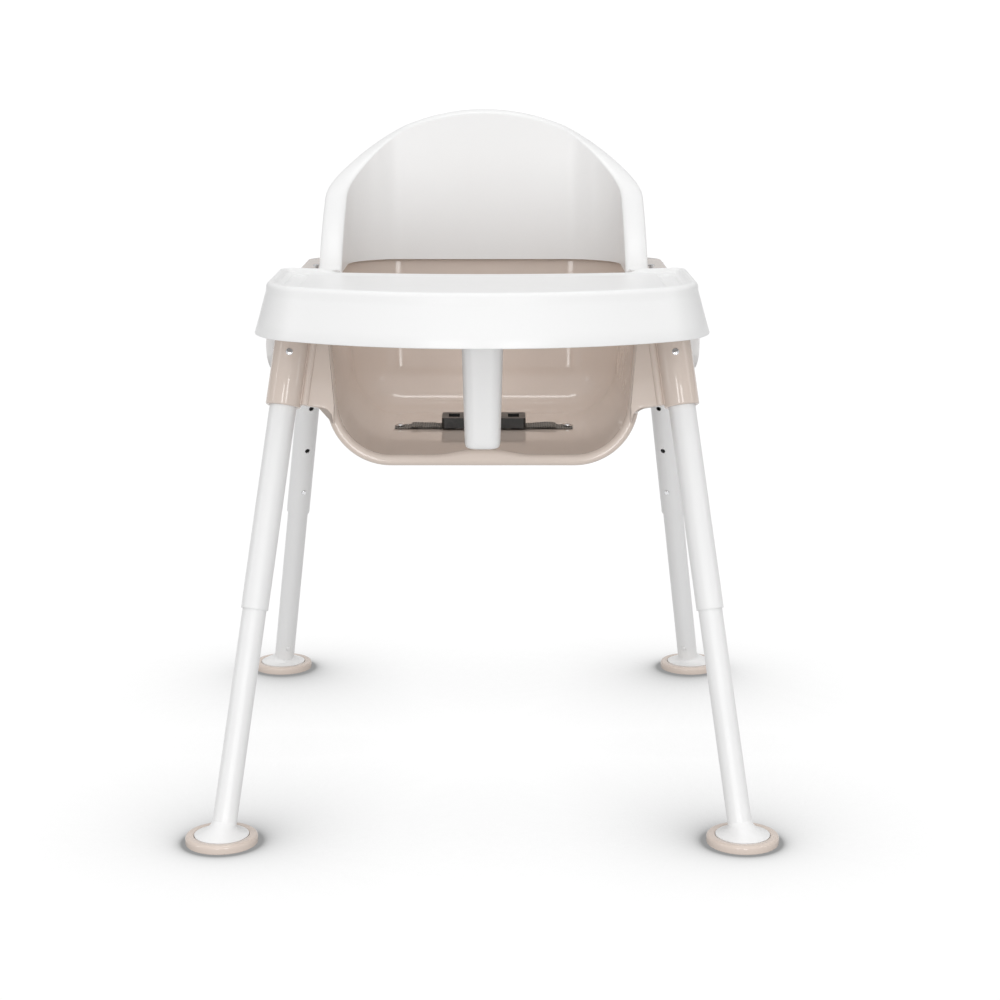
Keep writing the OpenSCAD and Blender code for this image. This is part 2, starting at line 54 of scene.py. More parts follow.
# Values of part.scad that the refined pieces follow, in millimetres
FOOT_X, FOOT_Y, LEAN_X, LEAN_Y = 235, 278, 0.135, 0.323
SEAT_Z, ARM_Z = 331, 486
HALF_W, BACK_Y, PLAN_R = 146, 140, 64
FLOOR_INSET, FLOOR_R, WALL = 61, 50, 4
FRONT_Y, FRAME_D, FRAME_T, FRONT_LEAN = -158, 12, 10, 10
ARM_HALF_W, FLANGE_FRONT, FLANGE_BACK, FLANGE_R = 185, -150, 155, 24
RAIL_END, RAIL_HALF_W = -20, 190
BACK_TOP, BACK_HALF_W, ARCH_R, WING_R = 640, 161, 212, 250
WING_FRONT, WING_TOP = -15, 105
BACK_IN, BACK_OUT, BACK_FOOT = -7, 15, (8, 3)
TRAY_HALF_W, TRAY_FRONT, TRAY_REAR, SKIRT_Z, RIM_Z = 206, -287, -70, 449, 496
LOW_RIM, LOW_RIM_HALF_W = 0.8, 150
PAD_R, PAD_H = 32.8, 8
ANCHOR_X, WEB_W, BAR_X, BAR_Z = 83.5, 25, 29.5, 337.2


# ---------- materials ----------

def tree(name):
    """A new node material with its tree, its shader and object coordinates."""
    m = bpy.data.materials.new(name)
    m.use_nodes = True
    t = m.node_tree
    shader = t.nodes["Principled BSDF"]
    coords = t.nodes.new("ShaderNodeTexCoord").outputs["Object"]
    return m, t, shader, coords


def noise(t, coords, scale, detail=3.0, stretch=None):
    n = t.nodes.new("ShaderNodeTexNoise")
    n.inputs["Scale"].default_value = scale
    n.inputs["Detail"].default_value = detail
    if stretch:
        mapping = t.nodes.new("ShaderNodeMapping")
        mapping.inputs["Scale"].default_value = stretch
        t.links.new(coords, mapping.inputs["Vector"])
        coords = mapping.outputs["Vector"]
    t.links.new(coords, n.inputs["Vector"])
    return n.outputs["Fac"]


def spread(t, value, low, high, start=0.3, end=0.7):
    """Maps a 0 to 1 field to low..high."""
    r = t.nodes.new("ShaderNodeMapRange")
    r.inputs["From Min"].default_value, r.inputs["From Max"].default_value = start, end
    r.inputs["To Min"].default_value, r.inputs["To Max"].default_value = low, high
    t.links.new(value, r.inputs["Value"])
    return r.outputs["Result"]


def two_colours(t, value, a, b, start=0.3, end=0.7):
    r = t.nodes.new("ShaderNodeValToRGB")
    r.color_ramp.elements[0].position, r.color_ramp.elements[1].position = start, end
    r.color_ramp.elements[0].color, r.color_ramp.elements[1].color = (*a, 1), (*b, 1)
    t.links.new(value, r.inputs["Fac"])
    return r.outputs["Color"]


def bump(t, shader, height, strength, distance, previous=None):
    b = t.nodes.new("ShaderNodeBump")
    b.inputs["Strength"].default_value = strength
    b.inputs["Distance"].default_value = distance
    t.links.new(height, b.inputs["Height"])
    if previous:
        t.links.new(previous, b.inputs["Normal"])
    t.links.new(b.outputs["Normal"], shader.inputs["Normal"])
    return b.outputs["Normal"]


def moulded(name, dark, light, rough, grain):
    """Injection-moulded plastic: faint mottling and flow marks, uneven gloss and a very fine skin."""
    m, t, shader, coords = tree(name)
    mottle = noise(t, coords, 420, 6)
    t.links.new(two_colours(t, mottle, dark, light), shader.inputs["Base Color"])
    t.links.new(spread(t, noise(t, coords, 60, 3), rough[0], rough[1]), shader.inputs["Roughness"])
    waves = bump(t, shader, noise(t, coords, 16, 1), 0.04, 0.001)
    bump(t, shader, noise(t, coords, 650, 1), grain, 0.0002, waves)
    return m


def enamel(name):
    """Powder-coated tube: fine orange peel over a satin white."""
    m, t, shader, coords = tree(name)
    shade = two_colours(t, noise(t, coords, 30, 3), (0.80, 0.80, 0.80), (0.81, 0.81, 0.809))
    t.links.new(shade, shader.inputs["Base Color"])
    t.links.new(spread(t, noise(t, coords, 60, 4), 0.3, 0.4), shader.inputs["Roughness"])
    shader.inputs["Coat Weight"].default_value = 0.12
    shader.inputs["Coat Roughness"].default_value = 0.18
    bump(t, shader, noise(t, coords, 900, 2), 0.1, 0.0003)
    return m


def metal(name, dark, light, rough, stretch=None):
    m, t, shader, coords = tree(name)
    shader.inputs["Metallic"].default_value = 1
    streaks = noise(t, coords, 500, 3, stretch)
    t.links.new(two_colours(t, streaks, dark, light), shader.inputs["Base Color"])
    t.links.new(spread(t, streaks, rough[0], rough[1]), shader.inputs["Roughness"])
    bump(t, shader, streaks, 0.05, 0.0001)
    return m


def woven(name):
    """Belt webbing: warp ribs along X crossed by weft picks, with a lighter fleck."""
    m, t, shader, coords = tree(name)
    fields = []
    for axis, per_m in (("Y", 520), ("X", 420)):
        w = t.nodes.new("ShaderNodeTexWave")
        w.wave_type, w.bands_direction, w.wave_profile = "BANDS", axis, "SIN"
        w.inputs["Scale"].default_value = per_m / 6.2832 * 2
        w.inputs["Distortion"].default_value = 0.6
        w.inputs["Detail"].default_value = 1
        t.links.new(coords, w.inputs["Vector"])
        fields.append(w.outputs["Fac"])
    weave = t.nodes.new("ShaderNodeMath")
    weave.operation = "MULTIPLY_ADD"
    weave.inputs[1].default_value = 0.7
    t.links.new(fields[0], weave.inputs[0])
    t.links.new(fields[1], weave.inputs[2])
    t.links.new(two_colours(t, weave.outputs[0], (0.055, 0.048, 0.042), (0.17, 0.15, 0.13), 0.2, 1.2),
                shader.inputs["Base Color"])
    t.links.new(spread(t, noise(t, coords, 800, 3), 0.7, 0.95), shader.inputs["Roughness"])
    shader.inputs["Sheen Weight"].default_value = 0.25
    fuzz = bump(t, shader, noise(t, coords, 3000, 2), 0.3, 0.0002)
    bump(t, shader, weave.outputs[0], 0.8, 0.0005, fuzz)
    return m


WHITE = moulded("white_moulded_plastic", (0.824, 0.824, 0.823), (0.83, 0.83, 0.829), (0.29, 0.35), 0.02)
TAUPE = moulded("taupe_moulded_plastic", (0.66, 0.565, 0.50), (0.668, 0.573, 0.508), (0.09, 0.12), 0.01)
BLACK = moulded("black_moulded_plastic", (0.012, 0.012, 0.012), (0.022, 0.021, 0.02), (0.3, 0.45), 0.2)
ENAMEL = enamel("white_powder_coat")
CHROME = metal("bright_chrome", (0.70, 0.71, 0.72), (0.80, 0.80, 0.81), (0.06, 0.14))
STEEL = metal("zinc_plated_steel", (0.48, 0.48, 0.49), (0.62, 0.62, 0.62), (0.25, 0.42), (1, 1, 8))
BELT = woven("belt_webbing")
SLOT_MATERIALS = {"taupe_plastic": TAUPE, "white_plastic": WHITE, "white_enamel": ENAMEL, "chrome": CHROME,
                  "spring_steel": STEEL, "black_plastic": BLACK, "webbing": BELT}


# ---------- mesh helpers, all in millimetres ----------

def arc(cx, cy, r, a0, a1, n):
    """n + 1 points of an arc, angles in degrees."""
    return [(cx + r * math.cos(math.radians(a0 + (a1 - a0) * i / n)),
             cy + r * math.sin(math.radians(a0 + (a1 - a0) * i / n))) for i in range(n + 1)]


def smooth(x):
    x = min(max(x, 0.0), 1.0)
    return x * x * (3 - 2 * x)


def skin(rings, around=True, along=False, start=True, end=True):
    """Vertices and faces of a sheet through equal rings.

    around closes each ring, along joins the last ring to the first, start and end cap the ends."""
    n, m = len(rings[0]), len(rings)
    verts = [p for r in rings for p in r]
    faces = []
    for k in range(m if along else m - 1):
        for i in range(n if around else n - 1):
            j, l = (i + 1) % n, (k + 1) % m
            faces.append((k * n + i, k * n + j, l * n + j, l * n + i))
    if around and not along:
        if start:
            faces.append(tuple(range(n - 1, -1, -1)))
        if end:
            faces.append(tuple((m - 1) * n + i for i in range(n)))
    return verts, faces


def joined(*parts):
    """Several (vertices, faces) as one."""
    verts, faces = [], []
    for v, f in parts:
        faces += [tuple(i + len(verts) for i in face) for face in f]
        verts += list(v)
    return verts, faces


def piece(name, shape, material, body, stands_for=(), sharp=38):
    """A finished mesh piece from (vertices, faces)."""
    mesh = bpy.data.meshes.new(name)
    mesh.from_pydata([Vector(p) * MM for p in shape[0]], [], shape[1])
    bm = bmesh.new()
    bm.from_mesh(mesh)
    bmesh.ops.remove_doubles(bm, verts=bm.verts, dist=1e-6)
    bmesh.ops.dissolve_degenerate(bm, edges=bm.edges, dist=1e-6)
    bmesh.ops.recalc_face_normals(bm, faces=bm.faces)
    bm.to_mesh(mesh)
    bm.free()
    mesh.shade_smooth()
    mesh.set_sharp_from_angle(angle=math.radians(sharp))
    o = bpy.data.objects.new(name, mesh)
    bpy.context.scene.collection.objects.link(o)
    mesh.materials.append(material)
    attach(o, body)
    if stands_for:
        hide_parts(*stands_for)
    return o


def cut(o, *shapes):
    """Takes closed shapes out of a piece."""
    for shape in shapes:
        mesh = bpy.data.meshes.new("cutter")
        mesh.from_pydata([Vector(p) * MM for p in shape[0]], [], shape[1])
        cutter = bpy.data.objects.new("cutter", mesh)
        bpy.context.scene.collection.objects.link(cutter)
        m = o.modifiers.new("cut", "BOOLEAN")
        m.operation, m.solver, m.object = "DIFFERENCE", "EXACT", cutter
        done = bpy.data.meshes.new_from_object(o.evaluated_get(bpy.context.evaluated_depsgraph_get()))
        o.modifiers.clear()
        o.data = done
        bpy.data.objects.remove(cutter)
    o.data.shade_smooth()
    o.data.set_sharp_from_angle(angle=math.radians(35))
    return o


def lathe(profile, n=64):
    """Turned shape about Z from (radius, height) points that start and end on the axis or meet."""
    rings = [[(r * math.cos(2 * math.pi * i / n), r * math.sin(2 * math.pi * i / n), z) for i in range(n)]
             for r, z in profile]
    return skin(rings)


def moved(shape, matrix):
    return [tuple(matrix @ Vector(p)) for p in shape[0]], shape[1]


LEG_NORM = math.sqrt(1 + LEAN_X ** 2 + LEAN_Y ** 2)
TIP_Y = math.atan(LEAN_X)
TIP_X = math.atan(LEAN_Y * math.cos(TIP_Y))


def leg_matrix(sx, sy):
    """The leg's own frame: Z up along its axis from the floor."""
    return (Matrix.Translation((sx * FOOT_X, sy * FOOT_Y, 0))
            @ Matrix.Rotation(-sx * TIP_Y, 4, "Y") @ Matrix.Rotation(sy * TIP_X, 4, "X"))


# ---------- seat ----------

def plan_stations(y_front, n_side, n_corner, n_rear):
    """Stations round the seat at the rim: (x, y, nx, ny, share of the way to the front)."""
    cx, cy = HALF_W - PLAN_R, BACK_Y - PLAN_R
    right = [(HALF_W, cy + (y_front - cy) * t, 1, 0, t) for t in [1 - i / n_side for i in range(n_side)]]
    for i in range(n_corner + 1):
        a = math.radians(90 * i / n_corner)
        right.append((cx + PLAN_R * math.cos(a), cy + PLAN_R * math.sin(a), math.cos(a), math.sin(a), 0))
    right += [(cx * (1 - i / n_rear), BACK_Y, 0, 1, 0) for i in range(1, n_rear)]
    middle = [(0, BACK_Y, 0, 1, 0)]
    left = [(-x, y, -nx, ny, t) for x, y, nx, ny, t in reversed(right)]
    return right + middle + left


def wall_n(z):
    """How far the straight part of the wall's inner face stands out at height z."""
    low = FLOOR_R * math.cos(math.radians(4))
    z_low = SEAT_Z + FLOOR_R - FLOOR_R * math.sin(math.radians(4))
    n_low = low - FLOOR_INSET
    return n_low * (1 - (z - z_low) / (ARM_Z - z_low))


def seat_tub():
    lean = math.tan(math.radians(FRONT_LEAN))
    top = ARM_Z - 3
    heights = (380, 400, 425, 450, top)
    inner = arc(-FLOOR_INSET, SEAT_Z + FLOOR_R, FLOOR_R, -90, -4, 14) + [(wall_n(z), z) for z in heights]
    outer = arc(-FLOOR_INSET, SEAT_Z + FLOOR_R, FLOOR_R + WALL, -90, -4, 14)
    outer += [(wall_n(z) + WALL, z) for z in heights]
    profile = inner + outer[::-1]
    m = len(profile)
    stations = plan_stations(FRONT_Y + 8, 12, 20, 5)
    rings = []
    for x, y, nx, ny, t in stations:
        ring = []
        for n, z in profile:
            shift = t * (z - SEAT_Z) * lean
            ring.append((x + n * nx, y + n * ny + shift, z))
        rings.append(ring)
    verts, faces = skin(rings, around=False)
    half = m // 2
    for k in (0, len(rings) - 1):
        faces += [(k * m + i, k * m + i + 1, k * m + m - 2 - i, k * m + m - 1 - i) for i in range(half - 1)]
    count = len(rings)
    faces.append(tuple(k * m for k in range(count)))
    faces.append(tuple(k * m + m - 1 for k in range(count - 1, -1, -1)))
    last = (count - 1) * m
    faces.append((0, m - 1, last + m - 1, last))
    return verts, faces


def flange_reach(x, y, nx, ny, half_w, back, r):
    """How far along the normal the flange's outline lies, found by halving."""

    def outside(n):
        px, py = abs(x + n * nx), y + n * ny
        if px > half_w - r and py > back - r:
            return math.hypot(px - half_w + r, py - back + r) > r
        return px > half_w or py > back

    low, high = 0.0, 120.0
    for _ in range(40):
        mid = (low + high) / 2
        low, high = (low, mid) if outside(mid) else (mid, high)
    return low


def seat_flange():
    rings = []
    stations = plan_stations(FLANGE_FRONT, 46, 36, 6)
    for x, y, nx, ny, _ in stations:
        w = flange_reach(x, y, nx, ny, ARM_HALF_W, FLANGE_BACK, FLANGE_R)
        rail = 1 - smooth((y - RAIL_END + 6) / 12)
        w += rail * (RAIL_HALF_W - ARM_HALF_W)
        low = 470 + 8 * rail
        t = WALL + 2 * rail
        section = [(0.0, ARM_Z - 5)] + arc(3, ARM_Z - 3, 3, 180, 90, 5) + arc(w - 3, ARM_Z - 3, 3, 90, 0, 5)
        section += arc(w - 1.2, low + 1.2, 1.2, 0, -90, 3) + arc(w - t + 1.2, low + 1.2, 1.2, -90, -180, 3)
        section += arc(w - t - 2, ARM_Z - 6, 2, 0, 90, 3) + [(WALL, ARM_Z - 4), (WALL, ARM_Z - 5)]
        rings.append([(x + n * nx, y + n * ny, z) for n, z in section])
    return skin(rings)


def seat_front():
    """Rounded rim round the leg opening, on the plane that leans back, with a low rise under the post."""
    leaning = Matrix.Rotation(math.radians(-FRONT_LEAN), 4, "X")
    place = Matrix.Translation((0, FRONT_Y + FRAME_D, SEAT_Z)) @ leaning
    r = 4.2
    section = (arc(r, FRAME_D - r, r, 180, 90, 6) + arc(FRAME_T - r, FRAME_D - r, r, 90, 0, 6)
               + arc(FRAME_T - 1, 1, 1, 0, -90, 2) + arc(1, 1, 1, -90, -180, 2))
    path = [(HALF_W + wall_n(z), z, 1.0, 0.0) for z in (ARM_Z - 3, 460, 435, 410, 388)]
    for x, z in arc(0, 0, 1, -4, -90, 22):
        path.append((HALF_W - FLOOR_INSET + FLOOR_R * x, SEAT_Z + FLOOR_R + FLOOR_R * z, x, z))
    path += [(x, SEAT_Z, 0.0, -1.0) for x in (80, 70, 60, 52, 46, 42, 38, 34, 30, 26, 22, 18, 14, 10, 5)]
    path += [(0, SEAT_Z, 0.0, -1.0)]
    path += [(-x, z, -nx, nz) for x, z, nx, nz in path[-2::-1]]
    rings = []
    for x, z, nx, nz in path:
        rise = 6 * (1 - smooth(abs(x) / 46)) if z < SEAT_Z + 1 else 0
        ring = []
        for d, e in section:
            lift = rise * (1 - d / FRAME_T)
            p = place @ Vector((x + d * nx, -e, z + d * nz - SEAT_Z + lift))
            ring.append(tuple(p))
        rings.append(ring)
    return skin(rings)


def outside_wall(p):
    """Moves a point that is inside the seat's mouth out into the thickness of its wall."""
    x, y, z = p
    cx, cy = HALF_W - PLAN_R, BACK_Y - PLAN_R
    least = wall_n(z) + WALL / 2
    if y > cy and abs(x) > cx:
        nx, ny = Vector((abs(x) - cx, y - cy)).normalized()
        n = math.hypot(abs(x) - cx, y - cy) - PLAN_R
    elif y > cy:
        nx, ny, n = 0, 1, y - BACK_Y
    else:
        nx, ny, n = 1, 0, abs(x) - HALF_W
    out = max(least - n, 0)
    return x + math.copysign(nx * out, x), y + ny * out, z


SOCKET_LOW = (ARM_Z - 108) * LEG_NORM
SOCKET_R, SLEEVE_IN = 16.2, 12.55
FRONT_WEB, REAR_WEB, REAR_WEB_TURN, WEB_FILLET = 48.0, 73.0, 38, 13.0


def socket_shape(sx, sy):
    """A leg's sleeve, its rib and the web to the side of the seat."""
    place = leg_matrix(sx, sy)
    ceiling = ARM_Z - 2.5

    def top(x, y):
        return (ceiling - place[2][3] - place[2][0] * x - place[2][1] * y) / place[2][2]

    def upright(outline, low):
        """Stack of one outline with a rounded lower edge, up to the flange.

        outline(k) gives the points drawn in by k, each with how far down its lower end reaches."""
        rings = []
        for k, ds in ((1.5, 0.0), (0.7, 0.25), (0.2, 0.8), (0.0, 1.6)):
            rings.append([(x, y, low - drop + ds) for x, y, drop in outline(k)])
        for f in (0.12, 0.25, 0.5, 0.75, 1.0):
            rings.append([(x, y, low - drop + 1.6 + (top(x, y) - low + drop - 1.6) * f)
                          for x, y, drop in outline(0)])
        return skin(rings)

    n = 72
    circle = [(math.cos(2 * math.pi * i / n), math.sin(2 * math.pi * i / n)) for i in range(n)]
    rings = []
    mouth = ((SLEEVE_IN, 1.2), (SLEEVE_IN + 0.4, 0.35), (SLEEVE_IN + 1.2, 0),
             (SOCKET_R - 1.3, 0), (SOCKET_R - 0.4, 0.4), (SOCKET_R, 1.4))
    for r, up in mouth:
        rings.append([(r * c, r * q, SOCKET_LOW + up) for c, q in circle])
    for r, f in ((SOCKET_R, 0.5), (SOCKET_R, 1.0), (SLEEVE_IN, 1.0)):
        rings.append([(r * c, r * q, SOCKET_LOW + 1.4 + (top(r * c, r * q) - SOCKET_LOW - 1.4) * f)
                      for c, q in circle])
    sleeve = skin(rings, along=True)

    turn = math.radians(REAR_WEB_TURN if sy > 0 else 0)
    u = Vector((-sx * math.cos(turn), -math.sin(turn)))
    v = Vector((-u.y, u.x))
    if v.y * sy < 0:
        v = -v

    def local(points):
        return [(*(u * a + v * b), fillet(a)) for a, b in points]

    web_end = REAR_WEB if sy > 0 else FRONT_WEB

    def fillet(a):
        inside = min(max(a - web_end + WEB_FILLET, 0), WEB_FILLET)
        return WEB_FILLET - math.sqrt(WEB_FILLET ** 2 - inside ** 2)

    def web(k):
        a0, a1, b = 12.0, web_end, 4.0 - k
        face = [(a0 + (a1 - a0) * i / 16, b + 0.9 * (1 - smooth((i / 16 - 0.1) / 0.3))) for i in range(17)]
        back = [(a1 - (a1 - a0) * i / 16, -b) for i in range(17)]
        return local(face + back)

    def rib(k):
        return local([(19.6 + (3.4 - k) * c, 4.0 + (3.4 - k) * q) for c, q in circle[::3]])

    panel = moved(upright(web, SOCKET_LOW + 3), place)
    panel = [outside_wall(p) for p in panel[0]], panel[1]
    return joined(moved(sleeve, place), panel, moved(upright(rib, SOCKET_LOW + 3), place))


# ---------- back ----------

WING_FOOT = (WING_FRONT, ARM_Z)
WING_HIGH = (WING_TOP, BACK_TOP - ARCH_R + math.sqrt(ARCH_R ** 2 - BACK_HALF_W ** 2))
CHORD = math.dist(WING_FOOT, WING_HIGH)
REACH = math.sqrt(WING_R ** 2 - CHORD ** 2 / 4) / CHORD
WING_C = ((WING_FOOT[0] + WING_HIGH[0]) / 2 + REACH * (WING_HIGH[1] - WING_FOOT[1]),
          (WING_FOOT[1] + WING_HIGH[1]) / 2 - REACH * (WING_HIGH[0] - WING_FOOT[0]))


def back_edge(x, y):
    """Height of the back's top edge over a point of its plan: a wing at each side that runs into the arch."""
    arch = BACK_TOP - ARCH_R + math.sqrt(max(ARCH_R ** 2 - x * x, 0))
    wing = WING_C[1] + math.sqrt(WING_R ** 2 - (min(y, WING_TOP) - WING_C[0]) ** 2)
    return wing + (arch - wing) * smooth((y - 66) / 50)


def back_shell():
    crown, lip = 5.0, 11.0
    stations = plan_stations(WING_FRONT + 0.6, 34, 40, 22)
    rings = []
    for x, y, nx, ny, _ in stations:
        section = [(BACK_IN, None)] + [(BACK_IN, dz) for dz in (-60.0, -30.0, -14.0, -crown - 1)]
        mid, half = (BACK_IN + BACK_OUT) / 2, (BACK_OUT - BACK_IN) / 2
        for a in range(0, 19):
            b = math.radians(180 - 10 * a)
            section.append((mid + half * math.cos(b), -crown + crown * math.sin(b)))
        section += [(BACK_OUT, -lip + 1.2), (BACK_OUT - 0.4, -lip + 0.4), (BACK_OUT - 1.2, -lip)]
        section += [(BACK_OUT - 2.6, -lip), (BACK_OUT - 3.4, -lip + 0.6), (BACK_OUT - 3.8, -lip + 2)]
        section += [(BACK_OUT - 5, -crown - 2.5), (BACK_OUT - 8, -crown - 1.5)]
        section += [(BACK_IN + WALL + 2, -crown - 1.5)]
        section += [(BACK_IN + WALL, dz) for dz in (-crown - 4, -14.0, -30.0, -60.0)]
        top = back_edge(x + BACK_OUT * nx, y + BACK_OUT * ny)
        ring = []
        for n, dz in section:
            z = ARM_Z if dz is None else max(ARM_Z + (0 if n < BACK_IN + 1 else BACK_FOOT[1]), top + dz)
            ring.append((x + n * nx, y + n * ny, z))
        foot = [(BACK_IN + WALL, 4.2), (BACK_IN + WALL + 0.5, 3.4), (BACK_IN + WALL + 1.4, 3.0),
                (BACK_FOOT[0] - 1, 3.0), (BACK_FOOT[0] - 0.3, 2.7), (BACK_FOOT[0], 2.0), (BACK_FOOT[0], 0.0)]
        ring += [(x + n * nx, y + n * ny, ARM_Z + h) for n, h in foot]
        rings.append(ring)
    return skin(rings)


def block(x0, x1, y0, y1, z0, z1, r, steps=3):
    """Box with rounded edges."""
    bm = bmesh.new()
    bmesh.ops.create_cube(bm, size=1)
    for p in bm.verts:
        p.co = Vector(((x0, x1)[p.co.x > 0], (y0, y1)[p.co.y > 0], (z0, z1)[p.co.z > 0]))
    bmesh.ops.bevel(bm, geom=bm.edges[:], offset=r, segments=steps, affect="EDGES", profile=0.5)
    bm.verts.index_update()
    shape = [tuple(p.co) for p in bm.verts], [tuple(p.index for p in f.verts) for f in bm.faces]
    bm.free()
    return shape


# ---------- tray ----------

def tray_ring(n, z):
    """The tray's outline drawn in by n: front curve and corners, straight sides, rear corners and curve."""
    front_r, corner_r, rear_corner, rear_r = 320, 75, 24, 600
    c1 = (0, TRAY_FRONT + front_r)
    turn = math.degrees(math.asin((TRAY_HALF_W - corner_r) / (front_r - corner_r)))
    reach = front_r - corner_r
    c2 = (reach * math.sin(math.radians(turn)), c1[1] - reach * math.cos(math.radians(turn)))
    c4x = TRAY_HALF_W - rear_corner
    c5y = TRAY_REAR + rear_r
    c4y = c5y - math.sqrt((rear_r + rear_corner) ** 2 - c4x ** 2)
    rear_turn = math.degrees(math.atan2(c5y - c4y, -c4x))
    half = arc(*c1, front_r - n, -90, -90 + turn, 26) + arc(*c2, corner_r - n, -90 + turn, 0, 22)
    half += arc(c4x, c4y, rear_corner - n, 0, rear_turn, 14)
    half += arc(0, c5y, rear_r + n, rear_turn - 180, -90, 22)
    ring = half + [(-x, y) for x, y in half[-2:0:-1]]
    return [(x, y, z) for x, y in ring]


def oblong(cx, y0, y1, r, z, n=12):
    """Outline of a slot with round ends."""
    pts = arc(cx, y1, r, 0, 180, n) + arc(cx, y0, r, 180, 360, n)
    return [(x, y, z) for x, y in pts]


def filled(loops):
    """Flat faces between an outer loop and the holes in it."""
    bm = bmesh.new()
    for loop in loops:
        vs = [bm.verts.new(p) for p in loop]
        for a, b in zip(vs, vs[1:] + vs[:1]):
            bm.edges.new((a, b))
    bmesh.ops.triangle_fill(bm, use_beauty=True, use_dissolve=False, edges=bm.edges[:])
    bm.verts.index_update()
    shape = [tuple(v.co) for v in bm.verts], [tuple(v.index for v in f.verts) for f in bm.faces]
    bm.free()
    return shape


def low_at_rear(p, low):
    """Draws the rim down to a low bead in front of the child."""
    x, y, z = p
    if y < TRAY_REAR - 50 or z <= low:
        return p
    return x, y, low + (z - low) * smooth((abs(x) - LOW_RIM_HALF_W + 9) / 9)


def tray_shape():
    dish = RIM_Z - 4.5
    under = dish - 3
    flare, wall = 11, 3
    rings = [tray_ring(flare + wall + 4, under), tray_ring(flare + wall + 2.5, under),
             tray_ring(flare + wall + 0.6, under - 0.7), tray_ring(flare + wall - 0.6, under - 3)]
    rings += [tray_ring(wall + 0.2, SKIRT_Z + 1.2), tray_ring(wall - 0.4, SKIRT_Z + 0.3),
              tray_ring(wall - 1.2, SKIRT_Z)]
    rings += [tray_ring(1.2, SKIRT_Z), tray_ring(0.4, SKIRT_Z + 0.35), tray_ring(0.15, SKIRT_Z + 1.2)]
    rings += [tray_ring(flare * f, SKIRT_Z + (RIM_Z - 8 - SKIRT_Z) * f) for f in (0.3, 0.6, 0.9, 1.0)]
    for a in (15, 30, 45, 60, 75, 90):
        turn = math.radians(a)
        rings.append(tray_ring(flare + 4.2 - 4.2 * math.cos(turn), RIM_Z - 6 + 6 * math.sin(turn)))
    rings += [tray_ring(flare + n, RIM_Z - down) for n, down in ((5.2, 0), (6.4, 0.4), (7.5, 1.6))]
    rings += [tray_ring(flare + n, dish + up) for n, up in ((8.4, 1.4), (9.3, 0.4), (10.6, 0), (11.8, 0))]
    rings = [[low_at_rear(p, dish + LOW_RIM) for p in ring] for ring in rings]
    walls = skin(rings, start=False, end=False)
    bottom = filled([rings[0]])
    holes, wells = [], []
    for sx in (-1, 1):
        steps = [(9.4, dish), (8.8, dish), (8.4, dish - 0.15), (7.7, dish - 0.7), (7.2, dish - 1.3),
                 (6.4, dish - 1.65), (5.2, dish - 1.75), (4.2, dish - 1.75)]
        well = [oblong(sx * 172.8, -180, -80, r, z) for r, z in steps]
        holes.append(well[0])
        wells.append(skin(well, start=False))
    top = filled([rings[-1]] + holes)
    lips = [block(*sorted((sx * 188.2, sx * 196.8)), -168, -128, 472.5, 476.5, 0.8) for sx in (-1, 1)]
    ears = [block(*sorted((sx * 190.8, sx * 196.4)), y, y + 2, 466, 481, 0.6) for sx in (-1, 1)
            for y in (-119.5, -68.5)]
    return joined(walls, bottom, top, *wells, *lips, *ears)


def post_ring(hw, hd, z, n=8):
    r = min(hw, hd) * 0.72
    y = -157
    pts = (arc(hw - r, y - hd + r, r, -90, 0, n) + arc(hw - r, y + hd - r, r, 0, 90, n)
           + arc(r - hw, y + hd - r, r, 90, 180, n) + arc(r - hw, y - hd + r, r, 180, 270, n))
    return [(px, py, z) for px, py in pts]


def pommel_shape():
    low, top = 340, RIM_Z - 7.6
    rings = [post_ring(13.2, 11.6, low), post_ring(14.6, 12.9, low + 0.5), post_ring(15.6, 13.9, low + 1.6),
             post_ring(16.2, 14.5, low + 3.4), post_ring(16.5, 14.9, low + 6)]
    for f in (0.0, 0.25, 0.5, 0.75, 1.0):
        rings.append(post_ring(16.6 + 4 * f, 15 + f, low + 9 + (top - low - 9) * f))
    plate = block(-32, 32, -173, -141, top - 4, top, 0.8)
    return joined(skin(rings), plate)


# ---------- feet ----------

LOWER_END = 17 * LEG_NORM


def foot_shape(sx, sy):
    base_r, tube_r, n = PAD_R - 8.2, 11.0, 72
    end_z = LOWER_END / LEG_NORM

    def ring(r, t, z):
        turn = Matrix.Rotation(-sx * TIP_Y * t, 3, "Y") @ Matrix.Rotation(sy * TIP_X * t, 3, "X")
        centre = Vector((sx * (FOOT_X - LEAN_X * z * t), sy * (FOOT_Y - LEAN_Y * z * t), z))
        angles = [2 * math.pi * i / n for i in range(n)]
        return [tuple(centre + turn @ Vector((r * math.cos(a), r * math.sin(a), 0))) for a in angles]

    rings = [ring(base_r - 0.2, 0, 3.2), ring(base_r - 0.1, 0, 7.4)]
    for k in range(17):
        t = k / 16
        rings.append(ring(tube_r + (base_r - tube_r) * (1 - t) ** 2.2, t, PAD_H + (end_z - PAD_H) * t))
    flare = skin(rings)
    place = leg_matrix(sx, sy)
    spigot = lathe([(9.5, LOWER_END - 1), (9.5, LOWER_END + 26)], 48)
    nub = lathe([(2.4, 0), (2.4, 11.0), (2.1, 11.4), (1.4, 11.6), (0.5, 11.65)], 24)
    facing = (Matrix.Translation((0, 0, LOWER_END + 15)) @ Matrix.Rotation(inward(sx, sy), 4, "Z")
              @ Matrix.Rotation(math.pi / 2, 4, "Y"))
    return joined(flare, moved(spigot, place), moved(nub, place @ facing))


def inward(sx, sy):
    """Angle about the leg's own axis that faces the middle of the chair."""
    return math.atan2(sy * (LEAN_X * math.sin(TIP_Y) * math.sin(TIP_X) - LEAN_Y * math.cos(TIP_X)),
                      -sx * LEAN_X * math.cos(TIP_Y))


